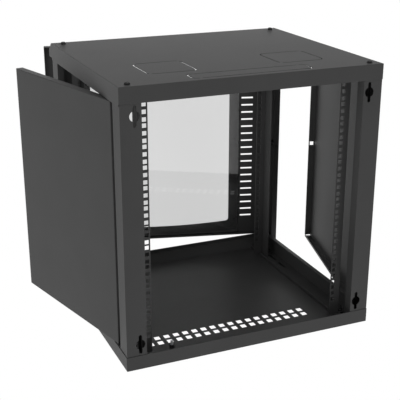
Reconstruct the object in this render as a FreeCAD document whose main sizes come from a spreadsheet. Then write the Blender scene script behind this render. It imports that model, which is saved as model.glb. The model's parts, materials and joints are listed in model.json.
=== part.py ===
import FreeCAD, Part
import math
import os

import Sketcher
from FreeCAD import Placement, Rotation, Vector

# Wall mount network cabinet, 12 units high, for 19 inch equipment.
# The origin is the centre of the underside. X runs across the cabinet, Y from the door
# towards the wall and Z up. Left and right are as seen from the front door.
# The door and both side panels are stored ajar, as in the reference picture.

DIMENSIONS = [
    # overall
    ("width", 600.0, "outer width over the cover flanges"),
    ("tall", 620.0, "outer height of the sheet metal"),
    ("frame_depth", 510.0, "rear plane to the front face of the front posts"),
    ("brow", 25.0, "how far the cover and tray reach in front of the posts"),
    ("bevel", 22.0, "45 degree bevel on the front edge of cover and tray"),
    ("gauge", 1.2, "sheet of cover, tray, door and panels"),
    ("cover_flange", 34.4, "depth of the cover"),
    ("cover_side", 39.3, "depth of the cover over the side openings"),
    ("tray_flange", 33.0, "depth of the tray"),
    ("brow_tab", 30.0, "width of the tab in the brow's corner that carries a door bush"),
    ("brow_lip", 23.5, "how far that tab reaches back"),
    ("edge_round", 1.5, "bend radius on the outside of cover and tray"),
    # knock-outs in the cover
    ("fan_side", 112.0, "side of a fan knock-out"),
    ("fan_corner", 17.0, "corner radius of a fan knock-out"),
    ("fan_inset", 149.5, "fan knock-out centre from the cabinet's side"),
    ("fan_y", 145.0, "fan knock-out centre from the rear plane"),
    ("entry_inset", 162.0, "end of the cable entry knock-out from the cabinet's side"),
    ("entry_depth", 45.0, "cable entry knock-out along the depth"),
    ("entry_corner", 12.0, "corner radius of the cable entry"),
    ("entry_y", 38.0, "cable entry centre from the rear plane"),
    ("slit", 3.2, "width of the cut round a knock-out"),
    ("tab", 6.0, "bridge that holds a knock-out"),
    ("tab_root", 0.5, "how far a bridge reaches into the sheet on both sides"),
    # vents in the tray
    ("vent_count", 18, "vent columns"),
    ("vent_left", 119.1, "first vent column from the cabinet's side"),
    ("vent_right", 88.0, "last vent column from the cabinet's side"),
    ("vent_row_pitch", 23.0, "distance between the two vent rows"),
    ("vent_wide", 13.5, "vent hole across"),
    ("vent_long", 15.9, "vent hole along the depth"),
    ("vent_y", 91.9, "nearer vent row from the rear plane"),
    # posts
    ("post_gauge", 1.5, "sheet of the posts and side beams"),
    ("post_face", 45.0, "width of a post seen from the wall or the door"),
    ("rear_post_side", 45.0, "depth of a rear post"),
    ("front_post_side", 44.5, "depth of a front post"),
    ("post_return", 15.0, "return lip at the side opening"),
    ("rear_lip", 25.0, "inner lip of a rear post"),
    ("end_plate", 38.0, "depth of the plate that closes a post's end"),
    # wall fixing
    ("keyhole_inset", 32.0, "keyhole centres from the cabinet's side"),
    ("keyhole_low", 59.5, "lower keyhole centres above the underside"),
    ("keyhole_high", 60.5, "upper keyhole centres below the top"),
    ("keyhole_bore", 22.0, "keyhole middle circle"),
    ("keyhole_slot", 8.0, "keyhole slot width"),
    ("keyhole_long", 45.0, "keyhole slot end to end"),
    # cover bolts
    ("bolt_inset_x", 24.5, "cover bolt from the side"),
    ("bolt_inset_y", 19.5, "cover bolt from the ends of the frame"),
    ("thread", 6.0, "machine screw diameter"),
    ("thread_gap", 0.4, "screw clearance on the diameter"),
    ("head_wide", 12.0, "pan head diameter"),
    ("head_tall", 5.0, "pan head height"),
    ("nut_wide", 10.0, "nut across flats"),
    ("nut_tall", 4.6, "nut height"),
    ("nut_gap", 0.1, "nut bore over the screw's diameter"),
    ("screw_long", 0.3, "how far a cover screw comes through its nut"),
    ("screw_short", 0.2, "how far the other screws stay inside their nuts or sheet"),
    # rack rails
    ("units", 12, "rack units"),
    ("unit", 44.45, "height of a rack unit"),
    ("hole_first", 6.35, "first hole above a unit boundary"),
    ("hole_step", 15.875, "first to second and second to third hole"),
    ("hole_side", 9.5, "square hole for a cage nut"),
    ("hole_inset", 7.55, "hole column from the rail's inner edge"),
    ("rack_margin", 75.0, "clear opening between the rails from the cabinet's side"),
    ("rail_gauge", 1.8, "sheet of the rails"),
    ("rail_face", 25.0, "width of a rail's face"),
    ("front_rail_web", 38.0, "depth of a front rail's web"),
    ("rear_rail_web", 22.0, "depth of a rear rail's web"),
    ("rear_rail_y", 47.4, "rear rail face from the rear plane"),
    ("front_rail_inset", 55.0, "front rail face behind the front of the posts"),
    ("foot_wide", 22.0, "rail foot across"),
    ("foot_long", 22.0, "rail foot along the depth"),
    ("foot_hole_x", 10.0, "foot hole from the rail's web"),
    ("foot_hole_y", 8.0, "foot hole from the rail's face"),
    # side beams
    ("beam_inset", 22.0, "outer face of a side beam's web from the cabinet's side"),
    ("lower_beam_tall", 55.0, "height of a lower side beam"),
    ("upper_beam_tall", 46.0, "height of an upper side beam"),
    ("beam_shelf", 9.5, "level of the shelf that carries the rail feet"),
    ("shelf_margin", 7.0, "how far the shelf reaches inside the rail's web"),
    ("beam_lip", 10.0, "return on the beam's free edge"),
    ("slot_long", 38.0, "length of an adjusting slot"),
    ("slot_wide", 7.5, "width of an adjusting slot"),
    ("slot_pitch", 52.0, "pitch of the adjusting slots"),
    ("slot_lead", 4.0, "first slot centre in front of the rail face"),
    # front door
    ("door_inset", 1.0, "door's edge from the cabinet's side"),
    ("door_low", 38.0, "door's lower edge, and its upper edge from the top"),
    ("door_recess", 1.5, "door's outer face behind the front of the brow"),
    ("door_thick", 19.0, "door's thickness over the flanges"),
    ("door_axis_inset", 8.0, "door hinge axis from the door's edge"),
    ("door_axis_depth", 8.5, "door hinge axis behind the door's outer face"),
    ("door_ajar", 15.4, "door's stored opening in degrees"),
    ("window_inset", 111.5, "window's side from the door's edge"),
    ("window_low", 76.5, "window's lower corner, and its upper corner from the top"),
    ("window_bulge", 9.5, "rise of the window's curved lower and upper edge"),
    ("window_corner", 9.0, "window corner radius"),
    ("glass_margin", 26.5, "glass overlap at the sides"),
    ("glass_thick", 4.0, "glass thickness"),
    ("glass_corner", 4.0, "glass corner radius"),
    ("glass_gap", 2.0, "glass edge to the door's flange"),
    ("tape_thick", 1.0, "adhesive tape thickness"),
    ("louvre_inset", 62.2, "vent slot centre from the door's edge"),
    ("louvre_long", 31.5, "vent slot length"),
    ("louvre_wide", 4.4, "vent slot height"),
    ("louvre_low", 90.0, "lowest vent slot"),
    ("louvre_top", 150.0, "highest vent slot below the top of the cabinet"),
    ("louvre_count", 20, "vent slots in a column"),
    # door hinge
    ("pin_wide", 6.0, "door hinge pin diameter"),
    ("pin_play", 0.06, "radial clearance of a pin in its bush"),
    ("bush_wide", 10.0, "bush barrel diameter"),
    ("bush_flange", 14.0, "bush flange diameter"),
    ("bush_tall", 2.5, "lower bush flange thickness"),
    ("bush_thin", 1.5, "upper bush flange thickness"),
    ("bush_reach", 6.5, "length of a bush barrel, and of the pin inside it"),
    ("seat_play", 0.05, "radial clearance of a bush or a lock plug in its seat"),
    ("seat_gap", 0.3, "gap between a collar and the plate that it turns on"),
    ("pin_grip", 12.0, "length of a door pin inside the door"),
    ("pin_nose", 1.0, "taper on a door pin's tip"),
    ("pin_head", 2.0, "thickness of the upper pin's head"),
    ("chamfer", 0.8, "bevel on the ends of pins and studs"),
    # door lock
    ("lock_inset", 22.0, "lock axis from the door's edge"),
    ("lock_wide", 19.0, "lock barrel diameter"),
    ("lock_rim", 24.0, "lock rim diameter"),
    ("lock_rim_thick", 2.5, "lock rim thickness"),
    ("rim_bevel", 1.0, "bevel on the lock's rim"),
    ("housing_gap", 0.3, "end of the lock barrel to the cam"),
    ("lock_nut_tall", 4.0, "lock nut height"),
    ("plug_wide", 12.0, "lock plug diameter"),
    ("plug_recess", 0.4, "plug's face behind the front of the rim"),
    ("plug_square", 6.6, "side of the square that carries the cam"),
    ("square_gap", 0.2, "cam's square hole over that square"),
    ("key_wide", 1.4, "key slot width"),
    ("key_tall", 7.0, "key slot height"),
    ("key_deep", 8.0, "key slot depth"),
    ("lock_screw_wide", 8.4, "diameter of the cam screw's head"),
    ("lock_screw_tall", 2.4, "height of the cam screw's head"),
    ("cam_long", 36.0, "cam length from the lock axis"),
    ("cam_wide", 12.0, "cam width"),
    ("cam_thick", 3.0, "cam thickness"),
    ("cam_rim", 2.0, "cam plate round the plug"),
    ("cam_gap", 0.6, "cam to the back of the post"),
    ("strike_wide", 26.0, "cut-out in the post for the lock"),
    ("strike_margin", 5.0, "cut-out clearance above and below the lock"),
    # side panels
    ("panel_rear", 62.8, "panel's rear edge from the rear plane"),
    ("panel_gap", 46.7, "panel's front edge behind the front of the posts"),
    ("panel_low", 37.0, "panel's lower edge"),
    ("panel_top", 40.5, "panel's upper edge below the top of the cabinet"),
    ("panel_flange", 17.0, "panel thickness over the flanges"),
    ("panel_lip", 6.0, "return on the panel's upper and lower flange"),
    ("panel_relief", 3.0, "corner relief in the flanges"),
    ("cut_spare", 0.5, "how far a cut runs past the sheet that it opens"),
    ("panel_axis_inset", 6.0, "panel hinge axis from the cabinet's side"),
    ("panel_axis_y", 69.3, "panel hinge axis from the rear plane"),
    ("panel_ajar", 14.8, "panel's stored opening in degrees"),
    ("panel_pin", 5.0, "panel hinge pin diameter"),
    ("panel_collar", 9.0, "panel hinge pin collar"),
    ("pin_tip", 3.0, "how far a panel pin passes its bracket"),
    ("pin_root", 9.0, "length of a panel pin inside the panel"),
    ("bracket_gap", 0.2, "hinge bracket above the tray's flange"),
    ("bracket_side", 0.3, "hinge bracket to the post's side"),
    ("bracket_edge", 2.0, "hinge bracket behind the edge of the post's lip"),
    ("bracket_leg", 15.0, "hinge bracket's leg"),
    # panel slide bolts
    ("slide_inset", 9.0, "slide bolt axis from the cabinet's side"),
    ("bolt_side", 7.0, "slide bolt section"),
    ("bolt_play", 0.3, "slide bolt clearance on each side"),
    ("bolt_short", 0.2, "slide bolt's tip behind the face of the post's lip"),
    ("slide_back", 3.0, "slide bolt's front end behind the front of the posts"),
    ("catch_hole", 10.0, "square hole in the panel's front flange"),
    ("guide_lead", 10.0, "guide's front end behind the front of the posts"),
    ("guide_end", 40.0, "guide's rear end behind the front of the posts"),
    ("guide_tall", 14.0, "guide's height"),
    ("guide_reach", 15.5, "guide's inner face from the cabinet's side"),
    ("thumb_place", 23.0, "thumb tab behind the front of the posts"),
    ("thumb_wide", 6.0, "thumb tab along the depth"),
    ("thumb_tall", 4.0, "thumb tab height"),
    ("thumb_reach", 22.0, "thumb tab's end from the cabinet's side"),
    ("bolt_stroke", 10.0, "slide bolt travel"),
    # earth stud
    ("stud_inset", 127.0, "earth stud from the cabinet's side"),
    ("stud_y", 63.0, "earth stud from the rear plane"),
    ("stud_tall", 19.0, "earth stud's top"),
    ("stud_rim", 1.5, "rim of the stud's welded foot"),
    ("stud_foot", 1.0, "height of the stud's welded foot"),
    ("washer_wide", 12.0, "earth washer diameter"),
    ("washer_thick", 1.2, "earth washer thickness"),
]

# Sizes that follow from the ones above, so that every piece keeps its place when
# the width, height or depth changes.
FOLLOWING = [
    ("fan_x", "width / 2 - fan_inset", "fan knock-out centre from the middle"),
    ("entry_length", "width - entry_inset * 2", "cable entry knock-out across"),
    ("vent_first", "vent_left - width / 2", "first vent column"),
    ("vent_pitch", "(width - vent_left - vent_right) / (vent_count - 1)", "vent pitch"),
    ("keyhole_x", "width - keyhole_inset * 2", "keyhole spacing across"),
    ("keyhole_z", "tall - keyhole_low - keyhole_high", "keyhole spacing up"),
    ("rack_opening", "width - rack_margin * 2", "clear width between the rails"),
    ("rack_pitch", "rack_opening + hole_inset * 2", "hole column to hole column"),
    ("front_rail_y", "frame_depth - front_rail_inset", "front rail face from the rear plane"),
    ("beam_x", "width / 2 - beam_inset", "outer face of a beam's web from the middle"),
    ("beam_inner", "rack_opening / 2 + rail_face - shelf_margin", "inner edge of a shelf"),
    ("door_half", "width / 2 - door_inset", "half the door's width"),
    ("door_high", "tall - door_low", "door's upper edge"),
    ("door_front", "frame_depth + brow - door_recess", "door's outer face from the rear plane"),
    ("door_axis_x", "door_half - door_axis_inset", "door hinge axis from the middle"),
    ("door_axis_y", "door_front - door_axis_depth", "door hinge axis from the rear plane"),
    ("window_half", "door_half - window_inset", "half width of the window"),
    ("louvre_x", "door_half - louvre_inset", "vent slot centre from the middle"),
    ("louvre_pitch", "(tall - louvre_low - louvre_top) / (louvre_count - 1)", "slot pitch"),
    ("lock_x", "door_half - lock_inset", "lock axis from the middle"),
    ("panel_front", "frame_depth - panel_gap", "panel's front edge from the rear plane"),
    ("panel_high", "tall - panel_top", "panel's upper edge"),
    ("panel_axis_x", "width / 2 - panel_axis_inset", "panel hinge axis from the middle"),
    ("bolt_x", "width / 2 - slide_inset", "slide bolt axis from the middle"),
    ("bolt_z", "tall / 2", "slide bolt level"),
    ("bolt_back", "frame_depth - slide_back", "slide bolt's front end from the rear plane"),
    ("guide_front", "frame_depth - guide_lead", "guide's front end from the rear plane"),
    ("guide_rear", "frame_depth - guide_end", "guide's rear end from the rear plane"),
    ("guide_inner", "width / 2 - guide_reach", "guide's inner face from the middle"),
    ("thumb_y", "frame_depth - thumb_place", "thumb tab from the rear plane"),
    ("thumb_x", "width / 2 - thumb_reach", "thumb tab's end from the middle"),
    ("stud_x", "width / 2 - stud_inset", "earth stud from the middle"),
]

doc = FreeCAD.newDocument("network_cabinet")
sheet = doc.addObject("Spreadsheet::Sheet", "dims")


class Size:
    """A number together with the spreadsheet formula that gives it."""

    def __init__(self, value, formula):
        self.value = float(value)
        self.formula = formula

    @staticmethod
    def of(thing):
        return thing if isinstance(thing, Size) else Size(thing, "(%r)" % float(thing))

    def join(self, other, sign, value):
        return Size(value, "(%s %s %s)" % (self.formula, sign, Size.of(other).formula))

    def __add__(self, other):
        return self.join(other, "+", self.value + Size.of(other).value)

    def __sub__(self, other):
        return self.join(other, "-", self.value - Size.of(other).value)

    def __mul__(self, other):
        return self.join(other, "*", self.value * Size.of(other).value)

    def __truediv__(self, other):
        return self.join(other, "/", self.value / Size.of(other).value)

    def __radd__(self, other):
        return Size.of(other) + self

    def __rsub__(self, other):
        return Size.of(other) - self

    def __rmul__(self, other):
        return Size.of(other) * self

    def __neg__(self):
        return Size.of(0) - self


class Dimensions:
    """The spreadsheet's cells as attributes."""


def fill_sheet():
    """Write every size into the sheet and return the cells by name."""
    rows = [(alias, str(value), meaning) for alias, value, meaning in DIMENSIONS]
    rows += [(alias, "=" + rule, meaning) for alias, rule, meaning in FOLLOWING]
    for row, (alias, content, meaning) in enumerate(rows, start=1):
        sheet.set("A%d" % row, meaning)
        sheet.set("B%d" % row, content)
        sheet.setAlias("B%d" % row, alias)
    doc.recompute()
    cells = Dimensions()
    for alias, _, _ in rows:
        setattr(cells, alias, Size(sheet.get(alias), "dims." + alias))
    return cells


d = fill_sheet()
nodes = []

# Reference planes that several pieces share.
REAR = (d.frame_depth + d.brow) / 2
FRONT = REAR - d.frame_depth
BROW = FRONT - d.brow
POST_X = d.width / 2 - d.gauge
FAR = 2000.0
TAN_HALF_BEVEL = math.tan(math.radians(22.5))
DIAGONAL = math.sqrt(0.5)


def bind(thing, name, size):
    """Set a property and tie it to the spreadsheet."""
    size = Size.of(size)
    setattr(thing, name, size.value)
    thing.setExpression(name, size.formula)


def new_body(name):
    body = doc.addObject("PartDesign::Body", name)
    body.Label = name
    nodes.append(body)
    return body


def new_sketch(body, plane, offset=0.0):
    """An empty sketch on one of the body's origin planes, moved along its normal."""
    sketch = body.newObject("Sketcher::SketchObject", body.Name + "_sketch")
    support = next(f for f in body.Origin.OriginFeatures if f.Role == plane)
    sketch.AttachmentSupport = [(support, "")]
    sketch.MapMode = "FlatFace"
    offset = Size.of(offset)
    sketch.AttachmentOffset = Placement(Vector(0, 0, offset.value), Rotation())
    sketch.setExpression("AttachmentOffset.Base.z", offset.formula)
    return sketch


def on_floor(body, level):
    """A sketch seen from above, at the given height."""
    return new_sketch(body, "XY_Plane", level)


def on_rear(body, depth):
    """A sketch in the plane y = depth, with X across and Z up. Its normal is -Y."""
    return new_sketch(body, "XZ_Plane", -Size.of(depth))


def on_side(body, across):
    """A sketch in the plane x = across, with Y across and Z up."""
    return new_sketch(body, "YZ_Plane", across)


def fix(sketch, kind, *where):
    """Add one dimension and tie it to the spreadsheet."""
    size = Size.of(where[-1])
    index = sketch.addConstraint(Sketcher.Constraint(kind, *where[:-1], size.value))
    sketch.setExpression("Constraints[%d]" % index, size.formula)


def fix_point(sketch, shape, end, x, y):
    fix(sketch, "DistanceX", -1, 1, shape, end, x)
    fix(sketch, "DistanceY", -1, 1, shape, end, y)


def vector(x, y):
    return Vector(Size.of(x).value, Size.of(y).value, 0)


def polygon(sketch, points):
    """A closed outline of straight lines through points given as sizes."""
    first = sketch.GeometryCount
    count = len(points)
    for index, point in enumerate(points):
        following = points[(index + 1) % count]
        sketch.addGeometry(Part.LineSegment(vector(*point), vector(*following)))
    for index, point in enumerate(points):
        fix_point(sketch, first + index, 1, *point)
        after = first + (index + 1) % count
        sketch.addConstraint(Sketcher.Constraint("Coincident", first + index, 2, after, 1))


def rectangle(sketch, x_low, x_high, y_low, y_high):
    polygon(sketch, [(x_low, y_low), (x_high, y_low), (x_high, y_high), (x_low, y_high)])


def centred(sketch, x, y, wide, tall):
    rectangle(sketch, x - wide / 2, x + wide / 2, y - tall / 2, y + tall / 2)


def circle(sketch, x, y, diameter):
    radius = Size.of(diameter) / 2
    shape = sketch.addGeometry(Part.Circle(vector(x, y), Vector(0, 0, 1), radius.value))
    fix_point(sketch, shape, 3, x, y)
    fix(sketch, "Radius", shape, radius)


def arc_between(sketch, line_a, line_b, middle):
    """An arc through middle, from the end of one line to the start of the next."""
    start = sketch.getPoint(line_a, 2)
    end = sketch.getPoint(line_b, 1)
    shape = sketch.addGeometry(Part.Arc(start, middle, end))
    ends = (1, 2) if sketch.getPoint(shape, 1).distanceToPoint(start) < 1e-6 else (2, 1)
    sketch.addConstraint(Sketcher.Constraint("Coincident", shape, ends[0], line_a, 2))
    sketch.addConstraint(Sketcher.Constraint("Coincident", shape, ends[1], line_b, 1))
    return shape


def straight(sketch, start, end):
    shape = sketch.addGeometry(Part.LineSegment(vector(*start), vector(*end)))
    fix_point(sketch, shape, 1, *start)
    fix_point(sketch, shape, 2, *end)
    return shape


def rounded(sketch, x, y, wide, tall, radius):
    """A rectangle with rounded corners."""
    left, right = x - wide / 2, x + wide / 2
    low, high = y - tall / 2, y + tall / 2
    near = radius * (1 - math.sqrt(0.5))
    lines = [
        straight(sketch, (left + radius, low), (right - radius, low)),
        straight(sketch, (right, low + radius), (right, high - radius)),
        straight(sketch, (right - radius, high), (left + radius, high)),
        straight(sketch, (left, high - radius), (left, low + radius)),
    ]
    middles = [
        (right - near, low + near),
        (right - near, high - near),
        (left + near, high - near),
        (left + near, low + near),
    ]
    for index, middle in enumerate(middles):
        arc = arc_between(sketch, lines[index], lines[(index + 1) % 4], vector(*middle))
        fix(sketch, "Radius", arc, radius)


def slot(sketch, x, y, long, wide, upright):
    """A slot with round ends, along the sketch's first axis or upright."""
    radius = wide / 2
    reach = long / 2 - radius
    if upright:
        going = straight(sketch, (x + radius, y - reach), (x + radius, y + reach))
        back = straight(sketch, (x - radius, y + reach), (x - radius, y - reach))
        kind, middle = "DistanceY", y
    else:
        going = straight(sketch, (x - reach, y - radius), (x + reach, y - radius))
        back = straight(sketch, (x + reach, y + radius), (x - reach, y + radius))
        kind, middle = "DistanceX", x
    for start, end, way in ((going, back, 1), (back, going, -1)):
        tip = (x, y + long / 2 * way) if upright else (x + long / 2 * way, y)
        arc = arc_between(sketch, start, end, vector(*tip))
        fix(sketch, kind, -1, 1, arc, 3, middle + reach * way)


def pad(body, sketch, length, both=False):
    feature = body.newObject("PartDesign::Pad", body.Name + "_pad")
    feature.Profile = sketch
    if both:
        feature.SideType = "Symmetric"
    bind(feature, "Length", length)
    sketch.Visibility = False
    return feature


def pocket(body, sketch, length):
    """Cut the same distance to both sides of the sketch, length in all."""
    feature = body.newObject("PartDesign::Pocket", body.Name + "_pocket")
    feature.Profile = sketch
    feature.SideType = "Symmetric"
    bind(feature, "Length", length)
    sketch.Visibility = False
    return feature


def repeat(body, feature, axis, count, step):
    """Repeat a feature along one of the body's axes."""
    doc.recompute()
    pattern = body.newObject("PartDesign::LinearPattern", body.Name + "_pattern")
    pattern.Originals = [feature]
    line = next(f for f in body.Origin.OriginFeatures if f.Role == axis)
    pattern.Direction = (line, [""])
    bind(pattern, "Length", step * (count - 1))
    pattern.Occurrences = int(Size.of(count).value)
    pattern.setExpression("Occurrences", Size.of(count).formula)
    body.Tip = pattern
    return pattern


def round_edges(body, radius, chosen):
    """Round the edges of the body's tip that the test picks."""
    doc.recompute()
    tip = body.Tip
    names = ["Edge%d" % (i + 1) for i, edge in enumerate(tip.Shape.Edges) if chosen(edge)]
    fillet = body.newObject("PartDesign::Fillet", body.Name + "_round")
    fillet.Base = (tip, names)
    bind(fillet, "Radius", radius)
    body.Tip = fillet
    return fillet


def runs_along(edge, axis):
    """Is this a straight edge parallel to the axis?"""
    if not isinstance(edge.Curve, Part.Line):
        return False
    return abs(abs(edge.Curve.Direction.dot(axis)) - 1) < 1e-6


def lies_in(edge, axis, place):
    """Does the whole edge lie in the plane across the axis, at this place?"""
    box = edge.BoundBox
    low, high = getattr(box, axis + "Min"), getattr(box, axis + "Max")
    return abs(low - place) < 1e-6 and abs(high - place) < 1e-6


def swing(item, x, y, degrees):
    """Turn a finished piece about an upright axis."""
    centre = Vector(Size.of(x).value, Size.of(y).value, 0)
    turn = Rotation(Vector(0, 0, 1), Size.of(degrees).value)
    item.Placement = Placement(Vector(), turn, centre)


def feature_of(name, shape):
    """A piece whose shape is made directly, such as a group of fasteners."""
    item = doc.addObject("Part::Feature", name)
    item.Label = name
    item.Shape = shape
    nodes.append(item)
    return item


def side_name(side):
    return "right" if side > 0 else "left"


# Cover and tray


def folded_pan(name, level, up, flange):
    """A shallow pan with a bevelled brow. It opens towards up (1) or down (-1)."""
    body = new_body(name)
    top = BROW + d.bevel
    rim = level + flange * up

    def at(depth):
        return level + depth * up

    outer = on_side(body, 0)
    polygon(outer, [(REAR, rim), (REAR, level), (top, level), (BROW, at(d.bevel)), (BROW, rim)])
    pad(body, outer, d.width, both=True)

    def outside_bend(edge):
        upright = runs_along(edge, Vector(0, 0, 1))
        return upright or lies_in(edge, "Z", Size.of(level).value)

    round_edges(body, d.edge_round, outside_bend)

    nudge = d.gauge * TAN_HALF_BEVEL
    inner = on_side(body, 0)
    polygon(inner, [
        (REAR - d.gauge, rim + up),
        (REAR - d.gauge, at(d.gauge)),
        (top + nudge, at(d.gauge)),
        (BROW + d.gauge, at(d.bevel + nudge)),
        (BROW + d.gauge, rim + up),
    ])
    pocket(body, inner, d.width - d.gauge * 2)

    corner = -d.width / 2
    tab = on_floor(body, rim if up < 0 else rim - d.gauge)
    rectangle(tab, corner + d.gauge / 2, corner + d.brow_tab,
              BROW + d.gauge / 2, BROW + d.brow_lip)
    pad(body, tab, d.gauge)

    bolts = on_floor(body, level)
    for side in (-1, 1):
        for depth in (REAR - d.bolt_inset_y, FRONT + d.bolt_inset_y):
            circle(bolts, bolt_column() * side, depth, d.thread + d.thread_gap)
    pocket(body, bolts, d.gauge * 4)

    bush = on_floor(body, rim)
    circle(bush, -d.door_axis_x, REAR - d.door_axis_y, d.bush_wide)
    pocket(body, bush, d.gauge * 4)
    return body


def bolt_column():
    return d.width / 2 - d.bolt_inset_x


def knock_out(body, x, y, wide, long, corner, diagonal):
    """A plate held in the cover by two bridges, with a narrow cut all round.

    The bridges cross the cut in two opposite corners, or on the edges beside them.
    """
    ring = on_floor(body, d.tall)
    rounded(ring, x, y, wide, long, corner)
    rounded(ring, x, y, wide - d.slit * 2, long - d.slit * 2, corner - d.slit)
    pocket(body, ring, d.gauge * 4)
    bridges = on_floor(body, d.tall - d.gauge)
    root = d.slit / 2 + d.tab_root
    for end in (-1, 1):
        if diagonal:
            middle = (corner - d.slit / 2) * DIAGONAL - corner
            across, along = x + (wide / 2 + middle) * end, y + (long / 2 + middle) * end
            far, near = (root + d.tab / 2) * DIAGONAL, (root - d.tab / 2) * DIAGONAL
            polygon(bridges, [
                (across + far, along + near),
                (across - near, along - far),
                (across - far, along - near),
                (across + near, along + far),
            ])
        else:
            offset = wide / 2 - corner - d.tab
            edge = y + (long / 2 - d.slit / 2) * end
            centred(bridges, x + offset * end, edge, d.tab, root * 2)
    pad(body, bridges, d.gauge)


def make_cover():
    cover = folded_pan("top_cover", d.tall, -1, d.cover_flange)
    for side in (-1, 1):
        knock_out(cover, d.fan_x * side, REAR - d.fan_y, d.fan_side, d.fan_side, d.fan_corner, True)
    length, depth = d.entry_length, d.entry_depth
    knock_out(cover, Size.of(0), REAR - d.entry_y, length, depth, d.entry_corner, False)
    skirt = on_floor(cover, d.tall - d.cover_side)
    for side in (-1, 1):
        edge = d.width / 2 * side
        rectangle(skirt, edge - d.gauge * side, edge, FRONT, REAR - d.panel_relief)
    pad(cover, skirt, d.cover_side - d.cover_flange)


def make_tray():
    tray = folded_pan("bottom_tray", Size.of(0), 1, d.tray_flange)
    vents = on_floor(tray, 0)
    for row in (0, 1):
        centred(vents, d.vent_first, REAR - d.vent_y - d.vent_row_pitch * row, d.vent_wide, d.vent_long)
    repeat(tray, pocket(tray, vents, d.gauge * 4), "X_Axis", d.vent_count, d.vent_pitch)


# Posts


def close_post_ends(body, side, wall, inward):
    """Weld a plate with a bolt hole into both ends of a post."""
    thick = d.post_gauge
    outer = (POST_X - thick) * side
    inner = (POST_X - d.post_face + thick) * side
    for level in (d.gauge, d.tall - d.gauge - thick):
        plate = on_floor(body, level)
        rectangle(plate, inner, outer, wall, wall + d.end_plate * inward)
        pad(body, plate, thick)
    hole = on_floor(body, 0)
    depth = REAR - d.bolt_inset_y if inward < 0 else FRONT + d.bolt_inset_y
    circle(hole, bolt_column() * side, depth, d.thread + d.thread_gap)
    pocket(body, hole, FAR)


def make_rear_post(side):
    body = new_body("rear_post_" + side_name(side))
    thick = d.post_gauge
    face = REAR - d.gauge
    lip = face - d.rear_lip
    end = REAR - d.rear_post_side
    inner = POST_X - d.post_face
    mouth = POST_X - d.post_return
    section = on_floor(body, d.gauge)
    polygon(section, [
        (inner * side, lip),
        (inner * side, face),
        (POST_X * side, face),
        (POST_X * side, end),
        (mouth * side, end),
        (mouth * side, end + thick),
        ((POST_X - thick) * side, end + thick),
        ((POST_X - thick) * side, face - thick),
        ((inner + thick) * side, face - thick),
        ((inner + thick) * side, lip),
    ])
    pad(body, section, d.tall - d.gauge * 2)
    bores = on_rear(body, face)
    slots = on_rear(body, face)
    for level in (d.keyhole_low, d.keyhole_low + d.keyhole_z):
        circle(bores, d.keyhole_x / 2 * side, level, d.keyhole_bore)
        slot(slots, d.keyhole_x / 2 * side, level, d.keyhole_long, d.keyhole_slot, True)
    pocket(body, bores, thick * 4)
    pocket(body, slots, thick * 4)
    close_post_ends(body, side, face - thick, -1)


def make_front_post(side):
    body = new_body("front_post_" + side_name(side))
    thick = d.post_gauge
    end = FRONT + d.front_post_side
    inner = POST_X - d.post_face
    mouth = POST_X - d.post_return
    section = on_floor(body, d.gauge)
    polygon(section, [
        (inner * side, FRONT),
        (POST_X * side, FRONT),
        (POST_X * side, end),
        (mouth * side, end),
        (mouth * side, end - thick),
        ((POST_X - thick) * side, end - thick),
        ((POST_X - thick) * side, FRONT + thick),
        (inner * side, FRONT + thick),
    ])
    pad(body, section, d.tall - d.gauge * 2)
    catch = on_rear(body, end)
    opening = d.bolt_side + d.bolt_play * 2
    centred(catch, d.bolt_x * side, d.bolt_z, opening, opening)
    pocket(body, catch, thick * 4)
    close_post_ends(body, side, FRONT + thick, 1)
    if side > 0:
        strike = on_rear(body, FRONT)
        low = d.tall / 2 - d.cam_long - d.strike_margin
        high = d.tall / 2 + d.lock_wide / 2 + d.strike_margin
        left = d.lock_x - d.strike_wide / 2
        rectangle(strike, left, left + d.strike_wide, low, high)
        pocket(body, strike, thick * 4)


# Side beams and rack rails


def rail_slots():
    """Places of the adjusting slots, from the rear rail to the front rail."""
    places = [REAR - d.rear_rail_y - d.foot_hole_y]
    for index in range(3):
        places.append(REAR - d.front_rail_y - d.slot_lead + d.slot_pitch * index)
    return places


def foot_x():
    return d.rack_opening / 2 + d.rail_face + d.foot_hole_x


def make_beam(side, upper):
    """A folded beam between the posts, with a shelf that the rail feet are bolted to."""
    body = new_body("%s_beam_%s" % ("upper" if upper else "lower", side_name(side)))
    thick = d.post_gauge
    height = d.upper_beam_tall if upper else d.lower_beam_tall

    def up(level):
        return d.tall - level if upper else level

    web = d.beam_x
    shelf = d.beam_shelf
    start = REAR - d.gauge - d.rear_lip
    section = on_rear(body, start)
    points = [
        (web, up(height)),
        (web - d.beam_lip, up(height)),
        (web - d.beam_lip, up(height - thick)),
        (web - thick, up(height - thick)),
        (web - thick, up(shelf)),
        (d.beam_inner, up(shelf)),
        (d.beam_inner, up(d.gauge)),
        (d.beam_inner + thick, up(d.gauge)),
        (d.beam_inner + thick, up(shelf - thick)),
        (web, up(shelf - thick)),
    ]
    polygon(section, [(x * side, z) for x, z in points])
    pad(body, section, start - FRONT - thick)
    slots = on_floor(body, up(shelf))
    for place in rail_slots():
        slot(slots, foot_x() * side, place, d.slot_long, d.slot_wide, True)
    pocket(body, slots, thick * 4)


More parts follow.
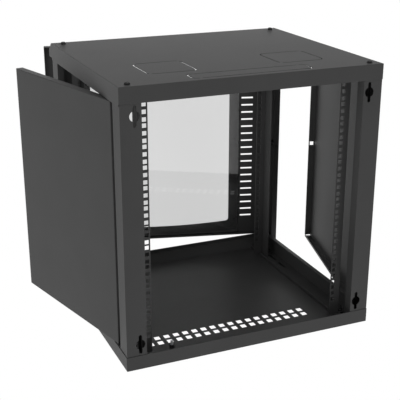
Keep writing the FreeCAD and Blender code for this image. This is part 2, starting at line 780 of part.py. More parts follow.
def make_rail(side, front):
    """An angle with a column of square holes and a foot at each end."""
    body = new_body("%s_rail_%s" % ("front" if front else "rear", side_name(side)))
    thick = d.rail_gauge
    inward = 1 if front else -1
    face = REAR - (d.front_rail_y if front else d.rear_rail_y)
    inner = d.rack_opening / 2
    web = inner + d.rail_face
    back = face + (d.front_rail_web if front else d.rear_rail_web) * inward
    section = on_floor(body, d.beam_shelf)
    polygon(section, [
        (inner * side, face),
        (web * side, face),
        (web * side, back),
        ((web - thick) * side, back),
        ((web - thick) * side, face + thick * inward),
        (inner * side, face + thick * inward),
    ])
    pad(body, section, d.tall - d.beam_shelf * 2)
    for level in (d.beam_shelf, d.tall - d.beam_shelf - thick):
        foot = on_floor(body, level)
        rectangle(foot, web * side, (web + d.foot_wide) * side, face, face + d.foot_long * inward)
        pad(body, foot, thick)
    holes = on_floor(body, 0)
    circle(holes, foot_x() * side, face + d.foot_hole_y * inward, d.thread + d.thread_gap)
    pocket(body, holes, FAR)
    squares = on_rear(body, face)
    lowest = (d.tall - d.units * d.unit) / 2 + d.hole_first
    for index in range(3):
        centred(squares, d.rack_pitch / 2 * side, lowest + d.hole_step * index, d.hole_side, d.hole_side)
    repeat(body, pocket(body, squares, thick * 4), "Z_Axis", d.units, d.unit)


# Front door


def window(sketch):
    """The window's outline, with gently curved lower and upper edges."""
    half = d.window_half
    low = d.window_low
    high = d.tall - d.window_low
    radius = (half * half + d.window_bulge * d.window_bulge) / (2 * d.window_bulge)
    right = straight(sketch, (half, low), (half, high))
    left = straight(sketch, (-half, high), (-half, low))
    upper = arc_between(sketch, right, left, vector(0, high + d.window_bulge))
    fix(sketch, "Radius", upper, radius)
    lower = arc_between(sketch, left, right, vector(0, low - d.window_bulge))
    fix(sketch, "Radius", lower, radius)


def round_window(body):
    corner = d.window_half.value

    def chosen(edge):
        box = edge.BoundBox
        beside = abs(abs(box.XMin) - corner) < 1e-4 and abs(abs(box.XMax) - corner) < 1e-4
        return runs_along(edge, Vector(0, 1, 0)) and beside

    round_edges(body, d.window_corner, chosen)


def open_door(body):
    swing(body, -d.door_axis_x, REAR - d.door_axis_y, -d.door_ajar)


def make_door_frame():
    body = new_body("door_frame")
    mouth = REAR - d.door_front + d.door_thick
    skin = REAR - d.door_front
    outer = on_rear(body, mouth)
    rectangle(outer, -d.door_half, d.door_half, d.door_low, d.door_high)
    pad(body, outer, d.door_thick)
    round_edges(body, d.edge_round, lambda edge: lies_in(edge, "Y", skin.value))
    hollow = on_rear(body, mouth)
    rectangle(hollow, -d.door_half + d.gauge, d.door_half - d.gauge,
              d.door_low + d.gauge, d.door_high - d.gauge)
    pocket(body, hollow, (d.door_thick - d.gauge) * 2)
    opening = on_rear(body, skin)
    window(opening)
    pocket(body, opening, d.gauge * 4)
    round_window(body)
    holes = on_rear(body, skin)
    circle(holes, d.lock_x, d.tall / 2, d.lock_wide)
    pocket(body, holes, d.gauge * 4)
    pins = on_floor(body, 0)
    circle(pins, -d.door_axis_x, REAR - d.door_axis_y, d.pin_wide)
    pocket(body, pins, FAR)
    louvres = on_rear(body, skin)
    for side in (-1, 1):
        centred(louvres, d.louvre_x * side, d.louvre_low, d.louvre_long, d.louvre_wide)
    repeat(body, pocket(body, louvres, d.gauge * 4), "Z_Axis", d.louvre_count, d.louvre_pitch)
    open_door(body)


def glass_size():
    """Half width, lower edge and upper edge of the pane."""
    gap = d.gauge + d.glass_gap
    return d.window_half + d.glass_margin, d.door_low + gap, d.door_high - gap


def make_glass():
    half, low, high = glass_size()
    skin = REAR - d.door_front + d.gauge
    tape = new_body("glass_tape")
    ring = on_rear(tape, skin + d.tape_thick)
    rectangle(ring, -half, half, low, high)
    pad(tape, ring, d.tape_thick)
    opening = on_rear(tape, skin)
    window(opening)
    pocket(tape, opening, d.tape_thick * 4)
    round_window(tape)
    open_door(tape)
    pane = new_body("door_glass")
    outline = on_rear(pane, skin + d.tape_thick + d.glass_thick)
    rounded(outline, Size.of(0), (low + high) / 2, half * 2, high - low, d.glass_corner)
    pad(pane, outline, d.glass_thick)
    open_door(pane)


# Round hardware, made by turning a profile about its own axis


def turned(points):
    """A solid of revolution about Z from (radius, height) pairs, as plain numbers."""
    wire = Part.makePolygon([Vector(r, 0, z) for r, z in points + points[:1]])
    return Part.Face(wire).revolve(Vector(), Vector(0, 0, 1), 360)


def placed(shape, x, y, z, axis=(0, 0, 1)):
    """Move a shape from the origin and turn its +Z onto the axis."""
    turn = Rotation(Vector(0, 0, 1), Vector(*axis))
    copy = shape.copy()
    copy.Placement = Placement(Vector(*[Size.of(v).value for v in (x, y, z)]), turn)
    return copy


def pan_screw(length):
    """A pan head screw, seated at z = 0 with its shank below."""
    head = d.head_wide.value / 2
    tall = d.head_tall.value
    shank = d.thread.value / 2
    recess = tall / 2
    return turned([
        (0, -length), (shank, -length), (shank, 0), (head, 0), (head, tall * 0.45),
        (head * 0.9, tall * 0.78), (head * 0.62, tall), (head * 0.25, tall),
        (head * 0.08, tall - recess), (0, tall - recess),
    ])


def hexagon(flats, tall, bore):
    """A hexagon nut standing on z = 0."""
    radius = flats / math.sqrt(3)
    corners = []
    for index in range(7):
        angle = math.radians(60 * index)
        corners.append(Vector(radius * math.cos(angle), radius * math.sin(angle), 0))
    prism = Part.Face(Part.makePolygon(corners)).extrude(Vector(0, 0, tall))
    bevel = 0.08 * flats
    lathe = turned([(0, 0), (radius - bevel, 0), (radius, bevel), (radius, tall - bevel),
                    (radius - bevel, tall), (0, tall)])
    return prism.common(lathe).cut(Part.makeCylinder(bore / 2, tall))


def bolt_places():
    for side in (-1, 1):
        for depth in (REAR - d.bolt_inset_y, FRONT + d.bolt_inset_y):
            yield bolt_column() * side, depth


def foot_places():
    for side in (-1, 1):
        yield foot_x() * side, REAR - d.rear_rail_y - d.foot_hole_y
        yield foot_x() * side, REAR - d.front_rail_y + d.foot_hole_y


def make_fasteners():
    nut = hexagon(d.nut_wide.value, d.nut_tall.value, (d.thread + d.nut_gap).value)
    under_plate = d.tall - d.gauge - d.post_gauge
    stack = d.gauge + d.post_gauge + d.nut_tall
    cover_screw = pan_screw((stack + d.screw_long).value)
    feature_of("cover_screws", Part.makeCompound(
        [placed(cover_screw, x, y, d.tall) for x, y in bolt_places()]))
    feature_of("cover_nuts", Part.makeCompound(
        [placed(nut, x, y, under_plate - d.nut_tall) for x, y in bolt_places()]))
    tray_stack = d.gauge + d.post_gauge
    tray_screw = pan_screw((tray_stack - d.screw_short).value)
    feature_of("tray_screws", Part.makeCompound(
        [placed(tray_screw, x, y, tray_stack) for x, y in bolt_places()]))
    shelf_stack = d.rail_gauge + d.post_gauge + d.nut_tall
    foot_screw = pan_screw((shelf_stack - d.screw_short).value)
    screws, nuts = [], []
    for x, y in foot_places():
        screws.append(placed(foot_screw, x, y, d.beam_shelf + d.rail_gauge))
        screws.append(placed(foot_screw, x, y, d.tall - d.beam_shelf - d.rail_gauge, (0, 0, -1)))
        nuts.append(placed(nut, x, y, d.beam_shelf - d.post_gauge - d.nut_tall))
        nuts.append(placed(nut, x, y, d.tall - d.beam_shelf + d.post_gauge))
    feature_of("rail_screws", Part.makeCompound(screws))
    feature_of("rail_nuts", Part.makeCompound(nuts))


def make_earth_stud():
    """The bonding stud on the tray with its washer and nut."""
    x, y = d.stud_x, REAR - d.stud_y
    radius = d.thread.value / 2
    tall = (d.stud_tall - d.gauge).value
    foot = d.stud_foot.value
    base = radius + d.stud_rim.value
    bevel = d.chamfer.value
    shank = turned([(0, 0), (base, 0), (base, foot), (radius, foot),
                    (radius, tall - bevel), (radius - bevel, tall), (0, tall)])
    feature_of("earth_stud", placed(shank, x, y, d.gauge))
    bore = radius + d.nut_gap.value
    rim = d.washer_wide.value / 2
    thick = d.washer_thick.value
    washer = turned([(bore, 0), (rim, 0), (rim, thick), (bore, thick)])
    feature_of("earth_washer", placed(washer, x, y, d.gauge + foot))
    nut = hexagon(d.nut_wide.value, d.nut_tall.value, bore * 2)
    feature_of("earth_nut", placed(nut, x, y, d.gauge + foot + d.washer_thick))


def make_door_hinge():
    """Pins fixed in the door's flanges and bushes seated in the brow lips."""
    x, y = -d.door_axis_x, REAR - d.door_axis_y
    pin = d.pin_wide.value / 2
    collar = d.bush_wide.value / 2
    barrel = collar - d.seat_play.value
    bore = pin + d.pin_play.value
    rim = d.bush_flange.value / 2
    reach = d.bush_reach.value
    nose = d.pin_nose.value
    grip = d.pin_grip.value

    lip = d.tray_flange
    thick = d.bush_tall.value
    bush = turned([(bore, thick), (bore, -reach), (barrel, -reach), (barrel, 0), (rim, 0), (rim, thick)])
    feature_of("door_bush_bottom", placed(bush, x, y, lip))
    low = (d.tray_flange + d.bush_tall + d.seat_gap).value
    seat = d.door_low.value
    tip = lip.value - reach
    pin_bottom = turned([
        (0, tip), (pin - nose, tip), (pin, tip + nose), (pin, low), (collar, low), (collar, seat),
        (pin, seat), (pin, seat + grip), (0, seat + grip),
    ])
    feature_of("door_pin_bottom", placed(pin_bottom, x, y, 0))

    lip = d.tall - d.cover_flange
    thick = d.bush_thin.value
    bush = turned([(bore, -thick), (rim, -thick), (rim, 0), (barrel, 0), (barrel, reach), (bore, reach)])
    feature_of("door_bush_top", placed(bush, x, y, lip))
    seat = (d.door_high - d.gauge).value
    tip = lip.value + reach
    head = d.pin_head.value
    pin_top = turned([
        (0, seat - grip), (pin, seat - grip), (pin, seat - head), (collar, seat - head), (collar, seat),
        (pin, seat), (pin, tip - nose), (pin - nose, tip), (0, tip),
    ])
    feature_of("door_pin_top", placed(pin_top, x, y, 0))


def make_door_lock():
    """A cam lock: housing and nut fixed in the door, plug, cam and screw turning."""
    x, z = d.lock_x, d.tall / 2
    front = REAR - d.door_front
    into = (0, 1, 0)
    barrel = d.lock_wide.value / 2
    rim = d.lock_rim.value / 2
    rim_thick = d.lock_rim_thick.value
    plug = d.plug_wide.value / 2
    play = d.seat_play.value
    bevel = d.rim_bevel.value
    cam_front = FRONT + d.post_gauge + d.cam_gap
    long = (cam_front - front - d.housing_gap).value
    housing = turned([
        (plug + play, -rim_thick), (rim - bevel, -rim_thick), (rim, -rim_thick + bevel), (rim, 0),
        (barrel, 0), (barrel, long), (plug + play, long),
    ])
    items = [feature_of("lock_housing", placed(housing, x, front, z, into))]
    nut = hexagon(d.lock_rim.value, d.lock_nut_tall.value, (d.lock_wide + d.nut_gap).value)
    items.append(feature_of("lock_nut", placed(nut, x, front + d.gauge, z, into)))

    turn_length = (cam_front - front).value
    cam_thick = d.cam_thick.value
    square = d.plug_square.value
    face = d.plug_recess.value - rim_thick
    core = turned([(0, face), (plug, face), (plug, turn_length), (0, turn_length)])
    tenon = Part.makeBox(square, square, cam_thick, Vector(-square / 2, -square / 2, turn_length))
    wide, tall, deep = d.key_wide.value, d.key_tall.value, d.key_deep.value
    key = Part.makeBox(wide, tall, deep, Vector(-wide / 2, -tall / 2, face))
    plug_shape = core.fuse(tenon).cut(key)
    items.append(feature_of("lock_plug", placed(plug_shape, x, front, z, into)))

    half = d.cam_wide.value / 2
    arm = d.cam_long.value - half
    hub = plug + d.cam_rim.value
    plate = Part.makeCylinder(hub, cam_thick)
    plate = plate.fuse(Part.makeBox(2 * half, arm, cam_thick, Vector(-half, 0, 0)))
    plate = plate.fuse(Part.makeCylinder(half, cam_thick, Vector(0, arm, 0)))
    hole = square + d.square_gap.value
    plate = plate.removeSplitter().cut(Part.makeBox(hole, hole, cam_thick, Vector(-hole / 2, -hole / 2, 0)))
    items.append(feature_of("lock_cam", placed(plate, x, cam_front, z, into)))
    radius, height = d.lock_screw_wide.value / 2, d.lock_screw_tall.value
    screw = turned([(0, 0), (radius, 0), (radius, height * 0.6), (radius * 0.7, height), (0, height)])
    items.append(feature_of("lock_screw", placed(screw, x, cam_front + d.cam_thick, z, into)))
    for item in items:
        lean(item)


def lean(item):
    """Swing a finished piece with the door, after its own placement."""
    centre = Vector((-d.door_axis_x).value, (REAR - d.door_axis_y).value, 0)
    turn = Placement(Vector(), Rotation(Vector(0, 0, 1), -d.door_ajar.value), centre)
    item.Placement = turn.multiply(item.Placement)


# Side panels


def make_side_panel(side):
    name = side_name(side)
    body = new_body("side_panel_" + name)
    rear, front = REAR - d.panel_rear, REAR - d.panel_front
    low, high = d.panel_low, d.panel_high
    skin = d.width / 2
    mouth = (skin - d.panel_flange) * side
    outer = on_side(body, (skin - d.panel_flange / 2) * side)
    rectangle(outer, front, rear, low, high)
    pad(body, outer, d.panel_flange, both=True)
    round_edges(body, d.edge_round, lambda edge: lies_in(edge, "X", (skin * side).value))
    hollow = on_side(body, mouth)
    rectangle(hollow, front + d.gauge, rear - d.gauge, low + d.gauge, high - d.gauge)
    inside = (d.panel_flange - d.gauge) * 2
    pocket(body, hollow, inside)
    relief = on_side(body, mouth)
    for edge in (front, rear - d.gauge):
        for start in (low + d.gauge, high - d.gauge - d.panel_relief):
            rectangle(relief, edge - d.cut_spare, edge + d.gauge + d.cut_spare,
                      start, start + d.panel_relief)
    pocket(body, relief, inside)
    lips = on_side(body, mouth + d.gauge / 2 * side)
    ends = d.gauge + d.panel_relief
    rectangle(lips, front + ends, rear - ends, low + d.gauge / 2, low + d.panel_lip)
    rectangle(lips, front + ends, rear - ends, high - d.panel_lip, high - d.gauge / 2)
    pad(body, lips, d.gauge, both=True)
    catch = on_rear(body, front)
    centred(catch, d.bolt_x * side, d.bolt_z, d.catch_hole, d.catch_hole)
    pocket(body, catch, d.gauge * 4)
    pins = on_floor(body, 0)
    circle(pins, d.panel_axis_x * side, REAR - d.panel_axis_y, d.panel_pin)
    pocket(body, pins, FAR)
    swing(body, d.panel_axis_x * side, REAR - d.panel_axis_y, d.panel_ajar * side)

    x, y = d.panel_axis_x * side, REAR - d.panel_axis_y
    pin = d.panel_pin.value / 2
    collar = d.panel_collar.value / 2
    lower_plate = (d.tray_flange + d.bracket_gap + d.post_gauge).value
    upper_plate = (d.panel_high + d.panel_low).value - lower_plate
    shapes = []
    for seat, plate, up in ((low.value, lower_plate, -1), (high.value, upper_plate, 1)):
        start = plate - d.seat_gap.value * up
        tip = plate + d.pin_tip.value * up
        end = seat - d.pin_root.value * up
        bevel = d.chamfer.value
        shapes.append(turned([
            (0, tip), (pin - bevel, tip), (pin, tip - bevel * up), (pin, start), (collar, start),
            (collar, seat), (pin, seat), (pin, end), (0, end),
        ]))
    group = Part.makeCompound([placed(shape, x, y, 0) for shape in shapes])
    feature_of("panel_pins_" + name, group)
    make_hinge_brackets(side, lower_plate, upper_plate)


def make_hinge_brackets(side, lower_plate, upper_plate):
    """Angles on the rear post's return lip that carry the panel's hinge pins."""
    thick = d.post_gauge.value
    lip = (REAR - d.rear_post_side).value
    outer = (POST_X - d.bracket_side).value
    inner = (POST_X - d.post_return + d.bracket_edge).value
    axis_x = d.panel_axis_x.value
    axis_y = (REAR - d.panel_axis_y).value
    front = axis_y - (outer - inner) / 2
    leg = d.bracket_leg.value
    shapes = []
    for level, up in ((lower_plate, 1), (upper_plate, -1)):
        base = level - thick if up > 0 else level
        plate = Part.makeBox(outer - inner, lip - front, thick, Vector(inner, front, base))
        wall_z = level if up > 0 else level - leg
        wall = Part.makeBox(outer - inner, thick, leg, Vector(inner, lip - thick, wall_z))
        bore = Part.makeCylinder(d.panel_pin.value / 2 + d.pin_play.value, FAR,
                                 Vector(axis_x, axis_y, -FAR / 2))
        bracket = plate.fuse(wall).removeSplitter().cut(bore)
        if side < 0:
            bracket = bracket.mirror(Vector(), Vector(1, 0, 0))
        shapes.append(bracket)
    feature_of("hinge_brackets_" + side_name(side), Part.makeCompound(shapes))


def make_slide_bolt(side):
    """A sliding bolt in the front post that holds the closed side panel."""
    name = side_name(side)
    wall = (POST_X - d.post_gauge) * side
    tip = FRONT + d.front_post_side - d.bolt_short
    back = REAR - d.bolt_back
    bore = d.bolt_side + d.bolt_play * 2

    guide = new_body("bolt_guide_" + name)
    block = on_rear(guide, REAR - d.guide_rear)
    rectangle(block, d.guide_inner * side, wall,
              d.bolt_z - d.guide_tall / 2, d.bolt_z + d.guide_tall / 2)
    pad(guide, block, d.guide_front - d.guide_rear)
    hole = on_rear(guide, REAR - d.guide_rear)
    centred(hole, d.bolt_x * side, d.bolt_z, bore, bore)
    pocket(guide, hole, (d.guide_front - d.guide_rear) * 3)
    window_cut = on_side(guide, d.guide_inner * side)
    reach = d.thumb_wide / 2 + d.cut_spare
    low = REAR - d.thumb_y - reach
    high = REAR - d.thumb_y + reach + d.bolt_stroke
    reach = d.thumb_tall / 2 + d.bolt_play
    rectangle(window_cut, low, high, d.bolt_z - reach, d.bolt_z + reach)
    pocket(guide, window_cut, (d.bolt_x - d.guide_inner) * 2)

    bolt = new_body("slide_bolt_" + name)
    bar = on_rear(bolt, tip)
    centred(bar, d.bolt_x * side, d.bolt_z, d.bolt_side, d.bolt_side)
    pad(bolt, bar, tip - back)
    thumb = on_rear(bolt, REAR - d.thumb_y + d.thumb_wide / 2)
    inner = (d.bolt_x - d.bolt_side / 2) * side
    rectangle(thumb, d.thumb_x * side, inner, d.bolt_z - d.thumb_tall / 2, d.bolt_z + d.thumb_tall / 2)
    pad(bolt, thumb, d.thumb_wide)


def write_files():
    """Check every object and export one file for each piece."""
    doc.recompute()
    for item in doc.Objects:
        if "Invalid" in item.State or "Error" in item.State:
            raise RuntimeError("%s: %s" % (item.Name, item.State))
    os.makedirs("parts", exist_ok=True)
    for item in nodes:
        if item.Shape.isNull() or not item.Shape.isValid():
            raise RuntimeError(item.Label + " has no valid shape")
    for item in nodes:
        item.Shape.exportStep("parts/%s.step" % item.Label)
        print(item.Label, len(item.Shape.Solids), round(item.Shape.Volume, 1))


make_cover()
make_tray()
for side in (-1, 1):
    make_rear_post(side)
    make_front_post(side)
    for upper in (False, True):
        make_beam(side, upper)
    for front in (False, True):
        make_rail(side, front)
    make_side_panel(side)
    make_slide_bolt(side)
make_door_frame()
make_glass()
make_fasteners()
make_earth_stud()
make_door_hinge()
make_door_lock()
write_files()
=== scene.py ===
import json

import bpy
from mathutils import Matrix, Vector

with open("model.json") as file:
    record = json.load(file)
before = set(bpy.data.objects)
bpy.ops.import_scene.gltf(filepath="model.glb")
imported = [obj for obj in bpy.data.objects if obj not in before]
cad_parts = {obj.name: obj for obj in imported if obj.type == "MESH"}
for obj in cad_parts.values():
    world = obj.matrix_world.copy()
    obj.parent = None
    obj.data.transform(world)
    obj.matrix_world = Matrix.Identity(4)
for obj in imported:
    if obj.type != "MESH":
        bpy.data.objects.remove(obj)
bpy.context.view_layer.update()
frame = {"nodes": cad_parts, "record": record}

# Wall mount network cabinet seen from behind and above, in metres.
# +Y is the wall side, -Y the door side, and +X is on the right of someone who faces the door.

# Camera, solved from the cabinet in the photograph, with the sensor in millimetres
CAMERA_PLACE = Vector((0.8226, 1.8981, 1.0082))
CAMERA_FORWARD = Vector((-0.3768, -0.8582, -0.3486))
CAMERA_UP = Vector((-0.1366, -0.3208, 0.9373))
IMAGE_SIDE = 400.0
FOCAL_PIXELS = 909.5
CENTRE_PIXEL = (210.6, 208.6)
SENSOR_WIDTH = 36.0
CLIP_START = 0.05
CLIP_END = 100.0

WHITE = (1.0, 1.0, 1.0, 1.0)
BLACK = (0.0, 0.0, 0.0, 1.0)

# Colour sockets of the mix node, by number, because it uses each of their names more than once
MIX_FIRST = 6
MIX_SECOND = 7
MIX_RESULT = 2

# Where a new stop of a colour ramp starts, before it gets its own position
NEW_STOP = 0.5

BEVEL_SAMPLES = 6
PAINTED_SHADE_SAMPLES = 8

# Powder coat
POWDER_COLOUR = (0.0407, 0.0407, 0.0407)
POWDER_PALE = (0.0437, 0.0437, 0.0439)
POWDER_DARK = (0.0378, 0.0379, 0.0378)
# Colour of the painted highlight along the bends
POWDER_BEND_HIGHLIGHT = (0.112, 0.112, 0.113)
# Colour of the painted shade in seams, slits and creases
POWDER_PAINTED_SHADE = (0.006, 0.006, 0.006)
POWDER_TONES = [(0.3, POWDER_DARK), (0.5, POWDER_COLOUR), (0.72, POWDER_PALE)]
POWDER_ROUGHNESS = (0.46, 0.58)
POWDER_SPECULAR = 0.28
CLOUD_NOISE = dict(scale=9.0, detail=3.0)
GRAIN_NOISE = dict(scale=1500.0, detail=3.0, roughness=0.6)
PEEL_NOISE = dict(scale=420.0, detail=2.0, roughness=0.5)
HIGHLIGHT_BREAKUP_NOISE = dict(scale=60.0, detail=4.0, roughness=0.65)
PEEL_BUMP = dict(strength=0.06, distance=0.0004)
GRAIN_BUMP = dict(strength=0.08, distance=0.00025)
BEND_RADIUS = 0.0009
# The cosine between the bevelled and the flat normal, where the painted highlight on the bends starts
# and is full
BEND_FACING = (0.995, 0.75)
PAINTED_SHADE_DISTANCE = 0.003
# How open the surface is where the painted shade in seams and creases is darkest and where it ends
PAINTED_SHADE_OPENNESS = (0.35, 0.75)

# Zinc and nickel plate
ZINC = dict(colour=(0.78, 0.79, 0.8), dark=(0.62, 0.63, 0.65), roughness=0.45, metallic=0.45)
NICKEL = dict(colour=(0.72, 0.71, 0.69), dark=(0.6, 0.59, 0.57), roughness=0.15, metallic=0.8)
STAIN_NOISE = dict(scale=140.0, detail=4.0, roughness=0.6)
STAIN_STOPS = (0.35, 0.65)
MARK_NOISE = dict(scale=900.0, detail=2.0, roughness=0.5, stretch=(1.0, 1.0, 6.0))
MARK_BUMP = dict(strength=0.1, distance=0.0001)
PLATE_RADIUS = 0.0003

# Black oxide, nylon and foam tape
BLACK_OXIDE = dict(colour=(0.008, 0.008, 0.008), pale=(0.014, 0.014, 0.014), roughness=0.42, grain=700.0)
BLACK_NYLON = dict(colour=(0.018, 0.018, 0.019), pale=(0.026, 0.026, 0.027), roughness=0.45, grain=600.0)
FOAM_TAPE = dict(colour=(0.32, 0.32, 0.32), pale=(0.36, 0.36, 0.36), roughness=0.6, grain=1200.0)
PATCH_NOISE = dict(scale=80.0, detail=3.0)
PATCH_STOPS = (0.35, 0.7)
MATTE_BUMP = dict(strength=0.15, distance=0.0002)
MATTE_RADIUS = 0.0004

# How much rougher plate and matt finishes are where their grain is strongest
ROUGHNESS_RISE = 0.15

# Glass
GLASS_TONES = [(0.3, (0.655, 0.656, 0.656)), (0.7, (0.68, 0.681, 0.681))]
GLASS_ROUGHNESS = (0.0, 0.03)
GLASS_INDEX = 1.53
WAVE_NOISE = dict(scale=3.0, detail=1.0)
DUST_NOISE = dict(scale=220.0, detail=4.0, roughness=0.7)

# These small parts are blackened, because the photograph is dark where it shows them.
# The panel pin at the right of the picture is hidden there, and is finished like its pair.
BLACKENED = ("slide_bolt_left", "slide_bolt_right", "panel_pins_left", "panel_pins_right",
             "earth_nut", "earth_washer")

# Studio, with the lights in watts
FLOOR_SIDE = 60.0
FLOOR_DROP = 0.0005
WORLD_STRENGTH = 0.46
TOP_SOFTBOX = dict(place=(0.0, 0.3, 3.2), target=(0.0, 0.0, 0.3), size=(3.0, 3.0), power=27.0)
REAR_SOFTBOX = dict(place=(0.0, 2.6, 3.3), target=(0.0, 0.0, 0.1), size=(2.0, 2.0), power=14.0)
DOOR_STRIP = dict(place=(-0.6, -1.5, 0.66), target=(-0.3, 0.0, 0.3), size=(3.0, 0.3), power=8.0)
# Small enough to stay inside the cabinet when both side panels are shut
INSIDE_FILL = dict(place=(0.12, 0.05, 0.3), target=(-0.38, -0.12, 0.66), size=(0.24, 0.24), power=1.1)

scene = bpy.context.scene
scene.view_settings.view_transform = "Standard"


def make_camera():
    """The camera of the photograph, with the shift that its framing needs."""
    data = bpy.data.cameras.new("camera")
    data.sensor_width = SENSOR_WIDTH
    data.lens = FOCAL_PIXELS / IMAGE_SIDE * SENSOR_WIDTH
    data.shift_x = (IMAGE_SIDE / 2 - CENTRE_PIXEL[0]) / IMAGE_SIDE
    data.shift_y = (CENTRE_PIXEL[1] - IMAGE_SIDE / 2) / IMAGE_SIDE
    data.clip_start = CLIP_START
    data.clip_end = CLIP_END
    camera = bpy.data.objects.new("camera", data)
    scene.collection.objects.link(camera)
    forward = CAMERA_FORWARD.normalized()
    right = forward.cross(CAMERA_UP).normalized()
    up = right.cross(forward)
    turn = Matrix((right, up, -forward)).transposed().to_4x4()
    camera.matrix_world = Matrix.Translation(CAMERA_PLACE) @ turn
    scene.camera = camera


class Shader:
    """A small helper to write node materials."""

    def __init__(self, name):
        self.material = bpy.data.materials.new(name)
        self.material.use_nodes = True
        self.tree = self.material.node_tree
        self.tree.nodes.clear()
        self.output = self.node("ShaderNodeOutputMaterial")
        self.bsdf = self.node("ShaderNodeBsdfPrincipled")
        self.link(self.bsdf, "BSDF", self.output, "Surface")
        self.place = self.node("ShaderNodeTexCoord")

    def node(self, kind, **values):
        made = self.tree.nodes.new(kind)
        for key, value in values.items():
            setattr(made, key, value)
        return made

    def link(self, source, out, target, into):
        self.tree.links.new(source.outputs[out], target.inputs[into])

    def set(self, **values):
        for key, value in values.items():
            self.bsdf.inputs[key.replace("_", " ")].default_value = value

    def noise(self, scale, detail=2.0, roughness=0.5, stretch=(1.0, 1.0, 1.0)):
        """Noise in object space, so that it stays on the metal."""
        mapping = self.node("ShaderNodeMapping")
        mapping.inputs["Scale"].default_value = stretch
        self.link(self.place, "Object", mapping, "Vector")
        made = self.node("ShaderNodeTexNoise")
        made.inputs["Scale"].default_value = scale
        made.inputs["Detail"].default_value = detail
        made.inputs["Roughness"].default_value = roughness
        self.link(mapping, "Vector", made, "Vector")
        return made

    def ramp(self, source, out, stops):
        """Colours at the given positions, blended between them."""
        made = self.node("ShaderNodeValToRGB")
        ramp = made.color_ramp
        while len(ramp.elements) < len(stops):
            ramp.elements.new(NEW_STOP)
        for element, (position, colour) in zip(ramp.elements, stops):
            element.position = position
            element.color = (*colour, 1.0)
        self.link(source, out, made, "Fac")
        return made

    def spread(self, source, out, start=(0.0, 1.0), end=(0.0, 1.0)):
        """The values between the two of start, carried over to the two of end."""
        made = self.node("ShaderNodeMapRange")
        for socket, value in zip(("From Min", "From Max", "To Min", "To Max"), (*start, *end)):
            made.inputs[socket].default_value = value
        self.link(source, out, made, "Value")
        return made

    def mix(self, factor, out, first, second):
        """A colour output between two colours, each a tuple or another output."""
        made = self.node("ShaderNodeMix", data_type="RGBA")
        self.link(factor, out, made, "Factor")
        for index, colour in ((MIX_FIRST, first), (MIX_SECOND, second)):
            if isinstance(colour, tuple):
                made.inputs[index].default_value = (*colour, 1.0)
            else:
                self.tree.links.new(colour, made.inputs[index])
        return made.outputs[MIX_RESULT]

    def bump(self, source, out, under, strength, distance):
        """Relief from a height, on top of the normal of the node under it."""
        made = self.node("ShaderNodeBump")
        made.inputs["Strength"].default_value = strength
        made.inputs["Distance"].default_value = distance
        self.link(source, out, made, "Height")
        self.link(under, "Normal", made, "Normal")
        return made

    def bevel(self, radius):
        """A normal that turns smoothly around the edges."""
        made = self.node("ShaderNodeBevel", samples=BEVEL_SAMPLES)
        made.inputs["Radius"].default_value = radius
        return made

    def facing(self, bevel):
        """The cosine between the bevelled and the flat normal: 1 away from edges."""
        geometry = self.node("ShaderNodeNewGeometry")
        made = self.node("ShaderNodeVectorMath", operation="DOT_PRODUCT")
        self.link(bevel, "Normal", made, 0)
        self.link(geometry, "True Normal", made, 1)
        return made

    def roughen(self, source, out, limits):
        """Roughness between two limits, by the strength of a texture."""
        rough = self.spread(source, out, end=limits)
        self.link(rough, "Result", self.bsdf, "Roughness")


def powder_coat():
    """Fine textured powder coat with slight clouding, a painted highlight on the bends and painted shade
    in seams and creases.
    """
    s = Shader("powder_coat")
    colour = s.ramp(s.noise(**CLOUD_NOISE), "Fac", POWDER_TONES)
    bevel = s.bevel(BEND_RADIUS)
    # Painted highlight: the colour turns paler along the bends, where the bevelled normal turns away,
    # broken up by noise
    bend = s.spread(s.facing(bevel), "Value", start=BEND_FACING)
    bend_highlight = s.node("ShaderNodeMath", operation="MULTIPLY")
    s.link(bend, "Result", bend_highlight, 0)
    s.link(s.noise(**HIGHLIGHT_BREAKUP_NOISE), "Fac", bend_highlight, 1)
    coat = s.mix(bend_highlight, "Value", colour.outputs["Color"], POWDER_BEND_HIGHLIGHT)
    # Painted shade: ambient occlusion over a few millimetres darkens the base colour in seams, slits and
    # creases
    cavity = s.node("ShaderNodeAmbientOcclusion", samples=PAINTED_SHADE_SAMPLES)
    cavity.inputs["Distance"].default_value = PAINTED_SHADE_DISTANCE
    openness = s.spread(cavity, "AO", start=PAINTED_SHADE_OPENNESS)
    shaded = s.mix(openness, "Result", POWDER_PAINTED_SHADE, coat)
    s.tree.links.new(shaded, s.bsdf.inputs["Base Color"])
    grain = s.noise(**GRAIN_NOISE)
    s.roughen(grain, "Fac", POWDER_ROUGHNESS)
    peel = s.bump(s.noise(**PEEL_NOISE), "Fac", bevel, **PEEL_BUMP)
    fine = s.bump(grain, "Fac", peel, **GRAIN_BUMP)
    s.link(fine, "Normal", s.bsdf, "Normal")
    s.set(Specular_IOR_Level=POWDER_SPECULAR)
    return s.material


def plated(name, colour, dark, roughness, metallic):
    """Zinc or nickel plate: a thin satin metal with fine turning marks and stains."""
    s = Shader(name)
    tone = s.ramp(s.noise(**STAIN_NOISE), "Fac", list(zip(STAIN_STOPS, (dark, colour))))
    s.link(tone, "Color", s.bsdf, "Base Color")
    marks = s.noise(**MARK_NOISE)
    s.roughen(marks, "Fac", (roughness, roughness + ROUGHNESS_RISE))
    relief = s.bump(marks, "Fac", s.bevel(PLATE_RADIUS), **MARK_BUMP)
    s.link(relief, "Normal", s.bsdf, "Normal")
    s.set(Metallic=metallic)
    return s.material


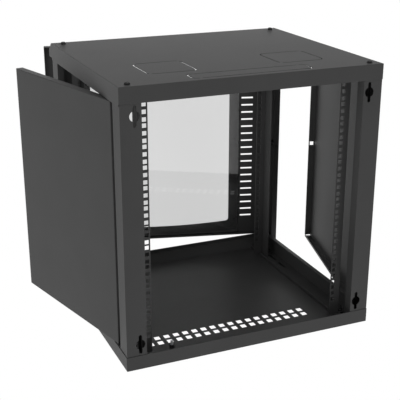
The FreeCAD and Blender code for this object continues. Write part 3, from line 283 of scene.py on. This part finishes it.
def matte(name, colour, pale, roughness, grain):
    """Black oxide, moulded nylon or foam tape: matt, with a fine grain."""
    s = Shader(name)
    tone = s.ramp(s.noise(**PATCH_NOISE), "Fac", list(zip(PATCH_STOPS, (colour, pale))))
    s.link(tone, "Color", s.bsdf, "Base Color")
    fine = s.noise(grain)
    s.roughen(fine, "Fac", (roughness, roughness + ROUGHNESS_RISE))
    relief = s.bump(fine, "Fac", s.bevel(MATTE_RADIUS), **MATTE_BUMP)
    s.link(relief, "Normal", s.bsdf, "Normal")
    return s.material


def tinted_glass():
    """Clear toughened glass with a faint grey tint and a trace of dust."""
    s = Shader("clear_glass")
    tint = s.ramp(s.noise(**WAVE_NOISE), "Fac", GLASS_TONES)
    s.link(tint, "Color", s.bsdf, "Base Color")
    s.roughen(s.noise(**DUST_NOISE), "Fac", GLASS_ROUGHNESS)
    s.set(Transmission_Weight=1.0, IOR=GLASS_INDEX)
    return s.material


def dress():
    """Give every CAD node the finish of its slot in the record, or black oxide."""
    finishes = {
        "black_powder": powder_coat(),
        "dark_screws": matte("black_oxide", **BLACK_OXIDE),
        "zinc_plate": plated("zinc_plate", **ZINC),
        "nickel_lock": plated("nickel_plate", **NICKEL),
        "black_nylon": matte("black_nylon", **BLACK_NYLON),
        "clear_glass": tinted_glass(),
        "black_tape": matte("foam_tape", **FOAM_TAPE),
    }
    for entry in frame["record"]["subparts"]:
        node = frame["nodes"][entry["node"]]
        node.data.materials.clear()
        slot = "dark_screws" if entry["node"] in BLACKENED else entry["material_slot"]
        node.data.materials.append(finishes[slot])


def white_ground():
    """Evenly white by its own light, so it takes no shadow."""
    s = Shader("studio_floor")
    s.set(Base_Color=BLACK, Roughness=1.0, Specular_IOR_Level=0.0)
    s.set(Emission_Color=WHITE, Emission_Strength=1.0)
    return s.material


def make_floor():
    """The white floor, just under the cabinet."""
    half = FLOOR_SIDE / 2
    corners = [(-half, -half, 0), (half, -half, 0), (half, half, 0), (-half, half, 0)]
    mesh = bpy.data.meshes.new("floor")
    mesh.from_pydata(corners, [], [(0, 1, 2, 3)])
    mesh.materials.append(white_ground())
    sheet = bpy.data.objects.new("floor", mesh)
    sheet.location.z = -FLOOR_DROP
    scene.collection.objects.link(sheet)


def area_light(name, place, target, size, power):
    """A rectangular lamp at a place, aimed at a target."""
    data = bpy.data.lights.new(name, "AREA")
    data.shape = "RECTANGLE"
    data.size, data.size_y = size
    data.energy = power
    light = bpy.data.objects.new(name, data)
    light.location = place
    aim = Vector(target) - Vector(place)
    light.rotation_mode = "QUATERNION"
    light.rotation_quaternion = aim.to_track_quat("-Z", "Y")
    scene.collection.objects.link(light)
    return light


def make_studio():
    """An even white world, the floor, three soft lights and a weak one inside the cabinet."""
    world = bpy.data.worlds.new("studio")
    scene.world = world
    world.use_nodes = True
    background = world.node_tree.nodes["Background"]
    background.inputs["Color"].default_value = WHITE
    background.inputs["Strength"].default_value = WORLD_STRENGTH
    make_floor()
    area_light("top_softbox", **TOP_SOFTBOX)
    area_light("rear_softbox", **REAR_SOFTBOX)
    area_light("door_strip", **DOOR_STRIP)
    fill = area_light("inside_fill", **INSIDE_FILL)
    fill.visible_camera = False
    fill.visible_glossy = False
    fill.visible_transmission = False


make_camera()
dress()
make_studio()
